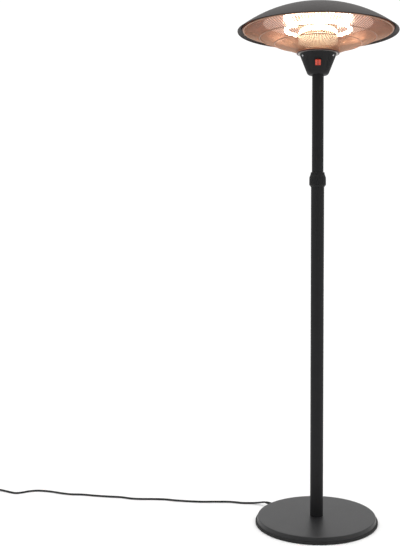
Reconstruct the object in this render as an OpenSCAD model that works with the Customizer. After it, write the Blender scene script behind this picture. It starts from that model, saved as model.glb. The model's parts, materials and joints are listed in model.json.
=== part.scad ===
// Free-standing electric patio heater: a weighted round base, a telescopic round pole with a
// twist collar, and a domed head with a ring lamp behind a radial wire guard.
// Millimetres. Origin on the floor under the pole, +Z up the pole, the switch faces -Y.

/* [Base] */
// Diameter of the base over its rubber edge ring
base_d = 462; // [440:2:500]
// Height of the base cover's top face above the floor
base_h = 25; // [24:0.5:30]
// Height of the rubber edge ring
edge_ring_h = 9; // [8:0.5:9]
// Thickness of the pressed steel base cover
cover_t = 1.2; // [0.8:0.1:1.6]
// Diameter of the cast iron weight inside the base
weight_d = 350; // [300:10:380]

/* [Pole] */
// Outside diameter of the lower tube
lower_d = 49; // [48:0.5:50]
// Outside diameter of the upper tube
upper_d = 43; // [42:0.5:43]
// Wall thickness of both tubes
tube_t = 1.5; // [1.2:0.1:1.8]
// Height of the lower tube's top end
lower_top = 1262; // [1100:2:1300]
// Length of upper tube that stays hidden below the lower tube's top at rest
upper_hidden = 272; // [250:2:290]

/* [Twist collar] */
// Largest diameter of the twist collar
collar_d = 62.2; // [61.4:0.2:66]
// Number of grip flutes round the collar
collar_flutes = 18; // [12:1:24]

/* [Head] */
// Diameter of the shade over its rim
shade_d = 590; // [580:2:600]
// Outer radius of curvature of the domed shade
shade_curve_r = 489; // [485:1:500]
// Height of the shade's apex above the floor
shade_top = 1925; // [1923:1:1928]
// Sheet thickness of the shade
shade_t = 1; // [0.8:0.1:1.2]
// Height of the underside of the reflector's flat middle
reflector_z = 1857; // [1855:1:1860]
// Diameter of the reflector's flat middle
reflector_flat_d = 400; // [380:2:410]
// Diameter where the reflector's sloping flank ends
reflector_d = 542; // [530:2:546]
// Diameter of the ring lamp at the middle of its tube
lamp_d = 236; // [230:2:240]
// Diameter of the lamp's quartz tube
lamp_tube_d = 12; // [10:0.5:12]
// Diameter of the polished centre column
column_d = 144; // [142:1:145]

/* [Guard] */
// Number of straight radial guard wires
guard_wire_count = 144; // [96:6:156]
// Diameter of a guard wire
guard_wire_d = 2.4; // [2:0.1:2.6]
// Diameter of the two middle guard hoops' wire
hoop_wire_d = 3.4; // [3:0.1:4]

/* [Cord] */
// Outside diameter of the mains cord
cord_d = 7.5; // [7:0.5:8]

/* [Hidden] */
$fn = 96;
round_fn = 180;

// Base
base_r = base_d / 2;
cover_edge_r = base_r - 4;
cover_top_r = cover_edge_r - 7;
cover_edge_z = 3;
roll_r = 3.5;
plate_z = 6;
plate_t = 1.5;
plate_r = base_r - 8;
dish_slope = (cover_edge_r - cover_top_r - 3) / (base_h - roll_r - cover_edge_z);
weight_z = plate_z + plate_t;
weight_top = base_h - cover_t - 3.8;
weight_r = weight_d / 2;
socket_flange_r = 55;
socket_flange_z = weight_top;
socket_top = 105;
bolt_r = 4;
bolt_ring_r = 42;
bolt_slack = 0.5;
bolt_hex_r = 7.4;
bolt_hex_h = 5.2;
channel_w = 12;
screw_z = 70;
screw_r = 3;
screw_angles = [60, 120];

// Pole and twist collar
lower_r = lower_d / 2;
lower_bore_r = lower_r - tube_t;
upper_r = upper_d / 2;
upper_bore_r = upper_r - tube_t;
upper_bottom = lower_top - upper_hidden;
guide_h = 40;
guide_r = lower_bore_r - 0.08;
bush_lip_h = 6.2;
bush_skirt_h = 40;
bush_bore_r = upper_r + 0.5;
bush_top = lower_top + 32;
thread_r = 27.4;
pocket_r = 25.5;
pocket_z = lower_top + 18;
sleeve_r = pocket_r - 0.3;
sleeve_bore_r = upper_r + 0.05;
sleeve_z = pocket_z + 0.4;
sleeve_top = lower_top + 45.6;
collar_z = lower_top + bush_lip_h + 0.4;
collar_r = collar_d / 2;
collar_top = lower_top + 54;

// Head heights
housing_z = 1671;
housing_top = 1746.5;
housing_top_r = 68;
housing_low_r = 41;
housing_low_z = 1679.5;
housing_wall = 2.5;
trim_top = housing_top + 1.5;
flange_t = 2.5;
flange_top = trim_top + flange_t;
flange_r = 78.5;
adapter_z = 1715;
adapter_disc_z = 1742;
adapter_disc_r = 40;
column_r = column_d / 2;
column_joint_z = 1808;
rod_r = 4;
nut_r = 7.5;
spacer_r = 6.5;
nut_h = 6.5;
sheet_t = 0.8;
heat_shield_z = 1880;
heat_shield_r = 150;
shade_r = shade_d / 2;
shade_centre_z = shade_top - shade_curve_r;
shade_nut_z = shade_top - shade_t - 0.1 - nut_h;
reflector_r = reflector_d / 2;
reflector_flat_r = reflector_flat_d / 2;
reflector_edge_z = 1833;

// Lamp
lamp_r = lamp_d / 2;
lamp_tube_r = lamp_tube_d / 2;
lamp_z = 1835;
lamp_gap_deg = 30;
lamp_cap_len = 22;
clip_angles = [45, 135, 225, 315];

// Guard: straight wires on a cone between the inner and the outer ring
wire_r = guard_wire_d / 2;
hoop_r = hoop_wire_d / 2;
outer_ring_wire_r = 2.5;
inner_ring_wire_r = 1.6;
weld_sink = 0.15;
inner_ring_r = 76.6;
inner_ring_z = flange_top + inner_ring_wire_r;
outer_ring_r = reflector_r;
outer_ring_z = 1829.5;
wire_in_r = 75.2;
wire_in_z = inner_ring_z + inner_ring_wire_r + wire_r - 0.5;
wire_slope = (outer_ring_z - wire_in_z) / (outer_ring_r - wire_in_r);
wire_deg = atan(wire_slope);
upper_hoop_r = 213.5;
lower_hoop_r = 159.5;

// Switch, set square on the sloping front of the housing
housing_slope = (housing_top_r - housing_low_r) / (housing_top - housing_low_z);
housing_deg = atan(housing_slope);
switch_z = 1709;
switch_w = 26;
switch_h = 29;
switch_lip = 2;
bezel_sink = 1.2;
rocker_w = 9.2;
rocker_rib = 0.8;
rocker_pin_r = 0.94;
rocker_h = 23;
rocker_end_gap = 1.2;
rocker_gap = 0.4;
rocker_rest_deg = 8;
rocker_pivot_in = 6;

// Cord: gland direction, route on the floor, coil and plug
gland_deg = 142;
gland_z = 16;
gland_in_r = cover_top_r - 6;
gland_tip_r = 257;
gland_hole_r = 5.2;
// The base's four bolts stand clear of the channel that brings the cord in
bolt_angles = [for (k = [0 : 3]) gland_deg + 45 + 90 * k];
cord_r = cord_d / 2;
lead_route = [
    [-202, 158, 16], [-212, 165, 14], [-225, 172, 10], [-240, 178, 6.5], [-257, 181, 4.6],
    [-277, 181, 4.1], [-300, 181, 4.1], [-325, 187, 4.1], [-357, 192, 4.1], [-405, 190, 4.1],
    [-465, 186, 4.1], [-520, 189, 4.1], [-574, 196, 4.1], [-613, 205, 4.1], [-663, 207, 4.1],
    [-713, 205, 4.1], [-757, 208, 4.1], [-803, 222, 4.1], [-856, 227, 4.1], [-911, 234, 4.1],
    [-971, 245, 4.1], [-1020, 246, 4.1], [-1066, 258, 4.1], [-1105, 272, 4.1],
    [-1144, 282, 4.1], [-1178, 283, 4.1], [-1208, 273, 4.1], [-1233, 255, 4.1],
    [-1258, 248, 4.1], [-1288, 261, 4.1], [-1316, 275, 4.1], [-1345, 287, 4.5],
    [-1375, 292, 5], [-1402, 292.5, 5]
];
coil_x = -1410;
coil_y = 255;
coil_r = 37.5;
coil_low = 1.2;
coil_high = 25.8;
tail_route = [
    [-1447.5, 248, 22], [-1448, 236, 21.8], [-1449, 220, 20.6], [-1450, 204, 19.4],
    [-1450, 190, 18.8]
];
plug_x = -1450;
plug_y = 190;
plug_axis_z = 18.8;
plug_r = 18.5;
pin_r = 2.4;
pin_gap = 19;

// ---- helpers -------------------------------------------------------------------------------

// Ring of rectangular section standing on z
module ring(r_out, r_in, z, h) {
    translate([0, 0, z])
        difference() {
            cylinder(r = r_out, h = h, $fn = round_fn);
            translate([0, 0, -1])
                cylinder(r = r_in, h = h + 2, $fn = round_fn);
        }
}

// Round wire bent into a hoop
module hoop(r, wire, z) {
    translate([0, 0, z])
        rotate_extrude($fn = round_fn)
            translate([r, 0])
                circle(r = wire, $fn = 24);
}

// Children repeated at angles round the pole
module around(angles) {
    for (a = angles)
        rotate([0, 0, a])
            children();
}

// Children placed on the front of the housing, X across, Z outward along the surface normal
module on_front() {
    front_r = housing_low_r + (switch_z - housing_low_z) * housing_slope;
    translate([0, -front_r, switch_z])
        rotate([90 + housing_deg, 0, 0])
            children();
}

function wire_z(r) = wire_in_z + (r - wire_in_r) * wire_slope;
function unit(v) = v / norm(v);

// Catmull-Rom point between p1 and p2
function spline(p0, p1, p2, p3, t) =
    0.5 * (2 * p1 + (p2 - p0) * t + (2 * p0 - 5 * p1 + 4 * p2 - p3) * t * t
    + (3 * p1 - p0 - 3 * p2 + p3) * t * t * t);

// Route points joined by a spline, with n rings to each stretch
function smooth_route(p, n) = [
    for (i = [0 : len(p) - 2], k = [0 : n - 1])
        spline(p[max(i - 1, 0)], p[i], p[i + 1], p[min(i + 2, len(p) - 1)], k / n),
    p[len(p) - 1]
];

// Tube of one radius swept along the points, as one closed polyhedron
module swept_tube(p, r, sides) {
    n = len(p);
    dirs = [for (i = [0 : n - 1]) unit(p[min(i + 1, n - 1)] - p[max(i - 1, 0)])];
    rims = [
        for (i = [0 : n - 1], k = [0 : sides - 1])
            let (
                across = unit(cross(dirs[i], [0, 0, 1])),
                over = cross(across, dirs[i]),
                a = 360 * k / sides
            )
            p[i] + r * (cos(a) * across + sin(a) * over)
    ];
    walls = [
        for (i = [0 : n - 2], k = [0 : sides - 1])
            let (k2 = (k + 1) % sides)
            [i * sides + k, i * sides + k2, (i + 1) * sides + k2, (i + 1) * sides + k]
    ];
    first_end = [for (k = [sides - 1 : -1 : 0]) k];
    last_end = [for (k = [0 : sides - 1]) (n - 1) * sides + k];
    polyhedron(points = rims, faces = concat(walls, [first_end, last_end]), convexity = 8);
}

// ---- base ----------------------------------------------------------------------------------

// Pressed dish with a slightly flared wall and a rolled top edge
module base_cover() {
    color("dimgray")
        difference() {
            rotate_extrude($fn = round_fn)
                difference() {
                    dish_outline(0);
                    dish_outline(cover_t);
                }
            cylinder(r = lower_bore_r + 0.5, h = base_h + 10);
            rotate([0, 0, gland_deg])
                translate([cover_top_r - 12, 0, gland_z])
                    rotate([0, 90, 0])
                        cylinder(r = gland_hole_r, h = 30, $fn = 32);
        }
}

// Half outline of the dish, stepped in by one sheet thickness for its inside
module dish_outline(in) {
    top = base_h - in;
    polygon([
        [0, cover_edge_z - in],
        [cover_edge_r - in + in * dish_slope, cover_edge_z - in],
        [cover_top_r + 3 - in, base_h - roll_r],
        for (a = [15 : 15 : 75])
            [cover_top_r + 3 - roll_r + (roll_r - in) * cos(a), base_h - roll_r + (roll_r - in) * sin(a)],
        [cover_top_r + 3 - roll_r, top],
        [0, top]
    ]);
}

// Rubber hoop that closes the dish's edge and rests on the floor
module base_edge_ring() {
    color("black")
        rotate_extrude($fn = round_fn)
            polygon([
                [base_r - 16, 0],
                [base_r - 1.5, 0],
                [base_r, 1.5],
                [base_r, edge_ring_h - 1.5],
                [base_r - 1.5, edge_ring_h],
                [cover_edge_r - (edge_ring_h - cover_edge_z) * dish_slope, edge_ring_h],
                [cover_edge_r, cover_edge_z],
                [cover_edge_r - cover_t - 1.6, cover_edge_z],
                [cover_edge_r - cover_t - 1.6, plate_z],
                [base_r - 16, plate_z]
            ]);
}

// Cast iron disc with bolt holes and a channel that leads the cord to the pole
module base_weight() {
    color("darkslategray")
        difference() {
            translate([0, 0, weight_z])
                cylinder(r = weight_r, h = weight_top - weight_z, $fn = round_fn);
            cylinder(r = 16, h = 60);
            around(bolt_angles)
                translate([bolt_ring_r, 0, 0])
                    cylinder(r = bolt_r + bolt_slack, h = 60, $fn = 32);
            rotate([0, 0, gland_deg])
                translate([0, -channel_w / 2, weight_z + 3.5])
                    cube([weight_r + 10, channel_w, 30]);
        }
}

// Steel bottom plate resting on the rubber hoop's inner lip
module base_plate() {
    color("gray")
        difference() {
            translate([0, 0, plate_z])
                cylinder(r = plate_r - 0.8, h = plate_t, $fn = round_fn);
            around(bolt_angles)
                translate([bolt_ring_r, 0, 0])
                    cylinder(r = bolt_r + bolt_slack, h = 60, $fn = 32);
        }
}

// Flanged spigot that stands in the foot of the lower tube
module pole_socket() {
    color("silver")
        difference() {
            union() {
                translate([0, 0, socket_flange_z])
                    cylinder(r = socket_flange_r, h = base_h - cover_t - socket_flange_z);
                translate([0, 0, socket_flange_z])
                    cylinder(r = lower_bore_r, h = socket_top - socket_flange_z);
            }
            translate([0, 0, socket_flange_z - 1])
                cylinder(r = lower_bore_r - 3.5, h = socket_top);
            around(bolt_angles)
                translate([bolt_ring_r, 0, 0])
                    cylinder(r = bolt_r, h = 60, $fn = 32);
            around(screw_angles)
                translate([0, 0, screw_z])
                    rotate([0, 90, 0])
                        cylinder(r = screw_r, h = 60, $fn = 24);
        }
}

// Four hexagon bolts from under the plate into the socket's flange
module base_bolts() {
    color("silver")
        around(bolt_angles)
            translate([bolt_ring_r, 0, 0]) {
                translate([0, 0, plate_z - bolt_hex_h])
                    cylinder(r = bolt_hex_r, h = bolt_hex_h, $fn = 6);
                translate([0, 0, plate_z - 0.1])
                    cylinder(r = bolt_r, h = base_h - cover_t - plate_z, $fn = 32);
            }
}

// ---- pole ----------------------------------------------------------------------------------

module lower_tube() {
    color("#2b2b2b")
        difference() {
            ring(lower_r, lower_bore_r, base_h, lower_top - base_h);
            around(screw_angles)
                translate([0, 0, screw_z])
                    rotate([0, 90, 0])
                        cylinder(r = screw_r, h = 60, $fn = 24);
        }
}

// Two screws at the rear that hold the lower tube on its spigot
module socket_screws() {
    color("silver")
        around(screw_angles)
            translate([lower_bore_r - 3.5, 0, screw_z])
                rotate([0, 90, 0]) {
                    cylinder(r = screw_r, h = tube_t + 3.4, $fn = 24);
                    translate([0, 0, tube_t + 3.4])
                        cylinder(r = screw_r, h = 0.6, $fn = 24);
                }
}

// Fixed bush in the top of the lower tube: skirt, lip, threaded neck and pocket for the sleeve
module clamp_bush() {
    color("#1c1c1c")
        difference() {
            union() {
                translate([0, 0, lower_top - bush_skirt_h])
                    cylinder(r = lower_bore_r, h = bush_skirt_h + 1);
                translate([0, 0, lower_top])
                    cylinder(r1 = lower_r + 0.8, r2 = 29.6, h = bush_lip_h);
                translate([0, 0, lower_top])
                    cylinder(r = thread_r, h = bush_top - lower_top);
            }
            translate([0, 0, lower_top - bush_skirt_h - 1])
                cylinder(r = bush_bore_r, h = bush_skirt_h + 60);
            translate([0, 0, pocket_z])
                cylinder(r = pocket_r, h = 60);
        }
}

// Split sleeve that grips the upper tube when the collar is tight
module clamp_sleeve() {
    color("#303030")
        difference() {
            union() {
                translate([0, 0, sleeve_z])
                    cylinder(r = sleeve_r, h = sleeve_top - sleeve_z - 5);
                translate([0, 0, sleeve_top - 5])
                    cylinder(r1 = sleeve_r, r2 = 23.4, h = 5);
            }
            translate([0, 0, sleeve_z - 1])
                cylinder(r = sleeve_bore_r, h = 60);
            translate([0, -1.2, sleeve_z - 1])
                cube([60, 2.4, 60]);
        }
}

// Fluted hand collar with a sloping shoulder
module clamp_collar() {
    color("#262626")
        difference() {
            rotate_extrude($fn = round_fn)
                polygon([
                    [0, collar_z], [collar_r - 0.7, collar_z], [collar_r, collar_z + 2],
                    [collar_r, lower_top + 22], [collar_r - 0.6, lower_top + 35],
                    [collar_r - 2, lower_top + 41], [26.2, lower_top + 47.5],
                    [25.8, collar_top - 1], [25, collar_top], [0, collar_top]
                ]);
            around([0 : 360 / collar_flutes : 359])
                translate([collar_r + 2.1, 0, collar_z + 3])
                    cylinder(r = 3, h = 26, $fn = 24);
            translate([0, 0, collar_z - 1])
                cylinder(r = thread_r + 0.35, h = bush_top + 2.5 - collar_z + 1);
            translate([0, 0, bush_top])
                cylinder(r = pocket_r + 0.1, h = sleeve_top + 0.4 - bush_top);
            cylinder(r = upper_r + 0.4, h = 2000);
        }
}

module upper_tube() {
    color("#2b2b2b")
        ring(upper_r, upper_bore_r, upper_bottom, adapter_disc_z - upper_bottom);
}

// Plastic bush that guides the upper tube's lower end inside the lower tube
module guide_bush() {
    color("white")
        difference() {
            translate([0, 0, upper_bottom - 4])
                cylinder(r = guide_r, h = guide_h);
            translate([0, 0, upper_bottom - 5])
                cylinder(r = upper_bore_r - 2, h = guide_h + 2);
            translate([0, 0, upper_bottom])
                cylinder(r = upper_r + 0.03, h = guide_h + 2);
        }
}

// ---- head frame ----------------------------------------------------------------------------

// Plug and disc that join the upper tube to the flange plate
module tube_adapter() {
    color("silver")
        difference() {
            union() {
                translate([0, 0, adapter_z])
                    cylinder(r = upper_bore_r, h = adapter_disc_z - adapter_z + 1);
                translate([0, 0, adapter_disc_z])
                    cylinder(r = adapter_disc_r, h = trim_top - adapter_disc_z);
            }
            translate([0, 0, adapter_z - 1])
                cylinder(r = rod_r, h = 60, $fn = 32);
            translate([0, 12, adapter_z - 1])
                cylinder(r = 5.5, h = 60, $fn = 32);
        }
}

// Half outline of the conical housing, stepped in by its wall for the inside
module housing_outline(in) {
    polygon([
        [0, housing_z + in],
        [31 - in * 0.6, housing_z + in],
        [36 - in * 0.8, housing_z + 1.8 + in * 0.6],
        [39.2 - in, housing_z + 4.6 + in * 0.3],
        [housing_low_r - in, housing_low_z],
        [housing_top_r - in, housing_top + (in > 0 ? 1 : 0)],
        [0, housing_top + (in > 0 ? 1 : 0)]
    ]);
}

// Conical plastic housing, grooved down its sides and rear
module housing() {
    color("#282828")
        difference() {
            rotate_extrude($fn = round_fn)
                difference() {
                    housing_outline(0);
                    housing_outline(housing_wall);
                }
            translate([0, 0, housing_z - 1])
                cylinder(r = upper_r, h = 20);
            around([-50 : 8 : 230])
                translate([housing_low_r + 0.4, 0, housing_low_z + 3])
                    rotate([0, housing_deg, 0])
                        translate([-1, -1.1, 0])
                            cube([5, 2.2, 62]);
            on_front() {
                translate([-switch_w / 2 + switch_lip, -switch_h / 2 + switch_lip, -15])
                    cube([switch_w - 2 * switch_lip, switch_h - 2 * switch_lip, 30]);
                translate([-switch_w / 2, -switch_h / 2, -bezel_sink])
                    cube([switch_w, switch_h, 15]);
            }
            around([210, 330, 90])
                housing_screw_axis()
                    translate([0, 0, -12])
                        cylinder(r = 2, h = 24, $fn = 24);
        }
}

// Local frame of a housing screw, Z outward through the sloping wall near its top
module housing_screw_axis() {
    z = housing_top - 10;
    translate([housing_low_r + (z - housing_low_z) * housing_slope, 0, z])
        rotate([0, 90 + housing_deg, 0])
            children();
}

module housing_screws() {
    color("silver")
        around([210, 330, 90])
            housing_screw_axis() {
                translate([0, 0, -8])
                    cylinder(r = 2, h = 8.5, $fn = 24);
                cylinder(r = 3.6, h = 1.8, $fn = 32);
            }
}

// Bright ring between the housing and the flange plate
module housing_trim() {
    color("lightgray")
        ring(74, 60, housing_top, trim_top - housing_top);
}

// Round plate that carries the column, the guard and the housing's three tabs
module flange_plate() {
    color("#5a2e22")
        difference() {
            union() {
                translate([0, 0, trim_top])
                    cylinder(r = flange_r, h = flange_t, $fn = round_fn);
                around([210, 330, 90])
                    translate([56.5, -6, housing_top - 15])
                        cube([2, 12, 17]);
            }
            cylinder(r = rod_r, h = 3000, $fn = 32);
            translate([0, 12, 0])
                cylinder(r = 5.5, h = 3000, $fn = 32);
            around([210, 330, 90])
                housing_screw_axis()
                    translate([0, 0, -12])
                        cylinder(r = 2, h = 24, $fn = 24);
        }
}

// Polished lower part of the centre column, with a bead round its top
module column_shell() {
    color("#e0b070") {
        difference() {
            union() {
                ring(column_r, column_r - 1, flange_top, column_joint_z - flange_top);
                hoop(column_r, 1.6, column_joint_z);
            }
            translate([0, 0, flange_top - 1])
                cylinder(r = column_r - 1, h = 80, $fn = round_fn);
        }
    }
}

// Upper part of the centre column, up to the reflector
module column_neck() {
    color("#d8a468")
        ring(column_r - 1, column_r - 1.8, column_joint_z - 8, reflector_z - column_joint_z + 8);
}

// Threaded rod that ties pole, column, reflector and shade together
module centre_rod() {
    color("silver")
        translate([0, 0, adapter_z - 9])
            cylinder(r = rod_r, h = shade_top + 8 - adapter_z + 9, $fn = 32);
}

// Nuts on the rod: under the adapter, on the reflector, under and over the shade
module rod_nuts() {
    color("silver")
        for (z = [adapter_z - nut_h, reflector_z + sheet_t, shade_nut_z, shade_top])
            translate([0, 0, z])
                difference() {
                    cylinder(r = nut_r, h = z == shade_top ? 5 : nut_h, $fn = 6);
                    translate([0, 0, -1])
                        cylinder(r = rod_r, h = 20, $fn = 32);
                }
}

// Distance tubes above and below the heat shield
module rod_spacers() {
    low = reflector_z + sheet_t + nut_h;
    high = heat_shield_z + 1;
    color("silver") {
        ring(spacer_r, rod_r + 0.1, low, heat_shield_z - low);
        ring(spacer_r, rod_r + 0.1, high, shade_nut_z - high);
    }
}

// Aluminium disc that keeps the lamp's heat off the shade
module heat_shield() {
    color("lightgray")
        ring(heat_shield_r, rod_r, heat_shield_z, 1);
}

// Spun reflector: flat middle, sloping flank and a small outward lip
module reflector() {
    color("#b87850")
        difference() {
            rotate_extrude($fn = round_fn)
                polygon([
                    [0, reflector_z],
                    [reflector_flat_r, reflector_z],
                    [reflector_r, reflector_edge_z],
                    [reflector_r + 6, reflector_edge_z],
                    [reflector_r + 6, reflector_edge_z + sheet_t],
                    [reflector_r + 0.3, reflector_edge_z + sheet_t],
                    [reflector_flat_r + 0.3, reflector_z + sheet_t],
                    [0, reflector_z + sheet_t]
                ]);
            cylinder(r = rod_r, h = 3000, $fn = 32);
            around([90 - 8, 90 + 8])
                translate([lamp_r, 0, 0])
                    cylinder(r = 3, h = 3000, $fn = 24);
        }
}

function arc_half(r, a0, a1, n) =
    [for (i = [0 : n]) let (a = a0 + (a1 - a0) * i / n) [r * sin(a), shade_centre_z + r * cos(a)]];

// Spun domed shade with a hemmed rim
module shade() {
    in_r = shade_curve_r - shade_t;
    a_out = asin((shade_r - 0.3) / shade_curve_r);
    a_in = asin((shade_r - 1) / in_r);
    rim_z = shade_centre_z + shade_curve_r * cos(a_out);
    color("#4a4542")
        difference() {
            union() {
                rotate_extrude($fn = round_fn)
                    polygon(concat(arc_half(shade_curve_r, 0, a_out, 24), arc_half(in_r, a_in, 0, 24)));
                hoop(shade_r - 1.4, 1.4, rim_z);
            }
            translate([0, 0, shade_top - 20])
                cylinder(r = rod_r, h = 60, $fn = 32);
        }
}

// Six distance pieces between the reflector's lip and the underside of the shade
module shade_brackets() {
    r = reflector_r + 1;
    top = shade_centre_z + sqrt(pow(shade_curve_r - shade_t, 2) - pow(r + 4, 2));
    color("gray")
        around([30 : 60 : 330])
            translate([r, 0, reflector_edge_z + sheet_t])
                cylinder(r = 4, h = top - reflector_edge_z - sheet_t, $fn = 32);
}

// Low round cap over the rod's top nut
module top_cap() {
    color("black")
        translate([0, 0, shade_top])
            difference() {
                union() {
                    translate([0, 0, -0.5])
                        cylinder(r = 22, h = 6.5);
                    translate([0, 0, 6])
                        cylinder(r1 = 22, r2 = 16, h = 4);
                }
                translate([0, 0, -1])
                    cylinder(r = 12, h = 9.2);
            }
}

// ---- lamp ----------------------------------------------------------------------------------

// Open ring swept on the lamp's circle, with its gap at the rear
module lamp_arc(gap, outer, inner) {
    translate([0, 0, lamp_z])
        rotate([0, 0, 90 + gap / 2])
            rotate_extrude(angle = 360 - gap, $fn = round_fn)
                translate([lamp_r, 0])
                    difference() {
                        circle(r = outer, $fn = 32);
                        circle(r = inner, $fn = 32);
                    }
}

module lamp_tube() {
    color("white")
        lamp_arc(lamp_gap_deg, lamp_tube_r, lamp_tube_r - 1.2);
}

module lamp_filament() {
    color("orange")
        translate([0, 0, lamp_z])
            rotate([0, 0, 90 + lamp_gap_deg / 2])
                rotate_extrude(angle = 360 - lamp_gap_deg, $fn = round_fn)
                    translate([lamp_r, 0])
                        circle(r = 1.6, $fn = 24);
}

// Ceramic caps on the two ends of the lamp, in its rear gap
module lamp_end_caps() {
    color("ivory")
        for (side = [-1, 1])
            rotate([0, 0, 90 + side * lamp_gap_deg / 2])
                translate([lamp_r, 0, lamp_z])
                    rotate([side * 90, 0, 0])
                        cylinder(r = 7.5, h = lamp_cap_len, $fn = 32);
}

// Wire leads from the ceramic caps up through the reflector
module lamp_leads() {
    color("white")
        around([90 - 8, 90 + 8])
            translate([lamp_r, 0, lamp_z + 6])
                cylinder(r = 2, h = reflector_z + 14 - lamp_z - 6, $fn = 24);
}

// Wire clips that hang the lamp from the reflector
module lamp_clips() {
    color("silver")
        around(clip_angles)
            translate([lamp_r, 0, lamp_z]) {
                rotate([90, 0, 0])
                    rotate_extrude($fn = 48)
                        translate([lamp_tube_r + 1.2, 0])
                            circle(r = 1.2, $fn = 16);
                translate([0, 0, lamp_tube_r + 1.2])
                    cylinder(r = 1.2, h = reflector_z - lamp_z - lamp_tube_r - 1.2, $fn = 16);
            }
}

// ---- guard ---------------------------------------------------------------------------------

// Straight radial wires, one solid each
module guard_wires() {
    length = (outer_ring_r - wire_in_r) / cos(wire_deg);
    color("#c27a55")
        around([0 : 360 / guard_wire_count : 359.9])
            translate([wire_in_r, 0, wire_in_z])
                rotate([0, 90 - wire_deg, 0])
                    cylinder(r = wire_r, h = length, $fn = 16);
}

module guard_outer_ring() {
    color("#d09070")
        hoop(outer_ring_r + 1.5, outer_ring_wire_r, outer_ring_z);
}

// A hoop welded under the wires at radius r
module under_hoop(r) {
    drop = (wire_r + hoop_r - weld_sink) / cos(wire_deg);
    hoop(r, hoop_r, wire_z(r) - drop);
}

module guard_upper_hoop() {
    color("#c27a55")
        under_hoop(upper_hoop_r);
}

module guard_lower_hoop() {
    color("#c27a55")
        under_hoop(lower_hoop_r);
}

module guard_inner_ring() {
    color("#c27a55")
        hoop(inner_ring_r, inner_ring_wire_r, inner_ring_z);
}

// Six short stays between the guard's outer ring and the reflector
module guard_hooks() {
    color("#c27a55")
        around([0 : 60 : 300])
            translate([outer_ring_r + 1.5, 0, outer_ring_z + 1.2])
                cylinder(r = 2, h = reflector_edge_z - outer_ring_z - 1.2, $fn = 24);
}

// ---- switch and wiring ---------------------------------------------------------------------

// Bezel with two rocker wells, a snap-in body behind it and the pin the rockers turn on
module switch_frame() {
    color("#1a1a1a")
        on_front() {
            difference() {
                union() {
                    translate([-switch_w / 2, -switch_h / 2, -bezel_sink])
                        cube([switch_w, switch_h, bezel_sink + 2]);
                    translate([-switch_w / 2 + switch_lip, -switch_h / 2 + switch_lip, -14])
                        cube([switch_w - 2 * switch_lip, switch_h - 2 * switch_lip, 14]);
                }
                for (side = [-1, 1])
                    translate([side * (rocker_w / 2 + rocker_rib) - rocker_w / 2 - rocker_gap,
                               -rocker_h / 2 - rocker_gap, -9.5])
                        cube([rocker_w + 2 * rocker_gap, rocker_h + 2 * rocker_gap, 20]);
            }
            translate([-switch_w / 2 + switch_lip + 0.1, 0, -rocker_pivot_in])
                rotate([0, 90, 0])
                    cylinder(r = rocker_pin_r, h = switch_w - 2 * switch_lip - 0.2, $fn = 24);
        }
}

// One rocker: a shallow V across its face, on a barrel that turns on the pin
module rocker(side) {
    half = rocker_h / 2 - rocker_end_gap;
    color("#d4503f")
        on_front()
            translate([side * (rocker_w / 2 + rocker_rib) - rocker_w / 2, 0, -rocker_pivot_in])
                rotate([rocker_rest_deg, 0, 0])
                    rotate([90, 0, 90])
                        linear_extrude(height = rocker_w)
                            difference() {
                                union() {
                                    polygon([
                                        [-9.5, 2], [9.5, 2], [half, 9.8], [0, 8.4], [-half, 9.8]
                                    ]);
                                    circle(r = 2.6, $fn = 32);
                                }
                                circle(r = rocker_pin_r + 0.06, $fn = 24);
                            }
}

module rocker_left() {
    rocker(-1);
}

module rocker_right() {
    rocker(1);
}

// Ceramic terminal block standing on the flange plate, inside the column
module terminal_block() {
    color("ivory")
        translate([-14, -34, flange_top])
            cube([28, 18, 16]);
}

// Flex inside the base and the foot of the pole
module inner_lead_lower() {
    rise = weight_z + 3.5 + cord_r;
    color("black") {
        rotate([0, 0, gland_deg])
            translate([0, 0, gland_z])
                rotate([0, 90, 0])
                    cylinder(r = cord_r, h = gland_in_r, $fn = 24);
        translate([0, 0, rise])
            cylinder(r = cord_r, h = 560, $fn = 24);
    }
}

// Flex hanging in the upper tube, up through the adapter to the terminals
module inner_lead_upper() {
    color("black")
        translate([0, 12, upper_bottom])
            cylinder(r = cord_r, h = flange_top + 10 - upper_bottom, $fn = 24);
}

// ---- cord ----------------------------------------------------------------------------------

// Rubber boot: a stem through the cover's wall, a collar and a tapered sleeve
module cord_gland() {
    wall_r = cover_edge_r - (gland_z - cover_edge_z) * dish_slope;
    color("#1a1a1a")
        rotate([0, 0, gland_deg])
            translate([0, 0, gland_z])
                rotate([0, 90, 0]) {
                    translate([0, 0, gland_in_r])
                        cylinder(r = gland_hole_r, h = wall_r - gland_in_r + 1, $fn = 32);
                    translate([0, 0, wall_r + 0.2])
                        cylinder(r = 6.4, h = 2.2, $fn = 32);
                    translate([0, 0, wall_r + 1])
                        cylinder(r1 = 6, r2 = cord_r + 0.7, h = gland_tip_r - wall_r - 1, $fn = 32);
                }
}

module cord_lead() {
    color("black")
        swept_tube(smooth_route(lead_route, 2), cord_r, 10);
}

// Outer shape of the spare cord wound into a small round hank
module cord_coil() {
    color("black")
        translate([coil_x, coil_y, 0])
            rotate_extrude($fn = 64)
                translate([coil_r, 0])
                    union() {
                        translate([0, coil_low + cord_r])
                            circle(r = cord_r, $fn = 24);
                        translate([0, coil_high - cord_r])
                            circle(r = cord_r, $fn = 24);
                        translate([-cord_r, coil_low + cord_r])
                            square([cord_d, coil_high - coil_low - cord_d]);
                    }
}

module cord_tail() {
    color("black")
        swept_tube(smooth_route(tail_route, 2), cord_r, 10);
}

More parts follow.
